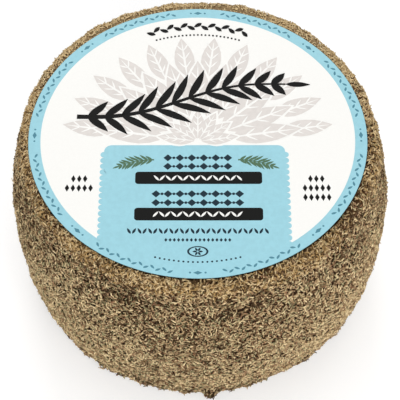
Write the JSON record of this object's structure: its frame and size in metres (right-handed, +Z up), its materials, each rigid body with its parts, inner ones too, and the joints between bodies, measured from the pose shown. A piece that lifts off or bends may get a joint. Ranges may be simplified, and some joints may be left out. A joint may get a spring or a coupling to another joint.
{
  "type": "rosemary-coated goat cheese wheel",
  "caption": "Whole barrel-sided wheel of firm goat cheese, coated all over with chopped dried rosemary, with a round paper label on its top face; rests on its flat underside.",
  "frame": {"origin": "middle of the flat underside", "axes": "+Z up along the wheel's axis, towards the label; -Y towards the front, the side that the label's foot faces"},
  "size_m": [0.2023, 0.2016, 0.1107],
  "materials": {
    "rosemary_coat": "rough dry coat of chopped rosemary leaves, olive-tan to brown, with dark gaps",
    "label_paper": "smooth white paper with a satin surface and flat printed fields"
  },
  "bodies": {
    "root": {"rosemary_coated_wheel": "rosemary_coat", "paper_label": "label_paper"}
  },
  "joints": []
}
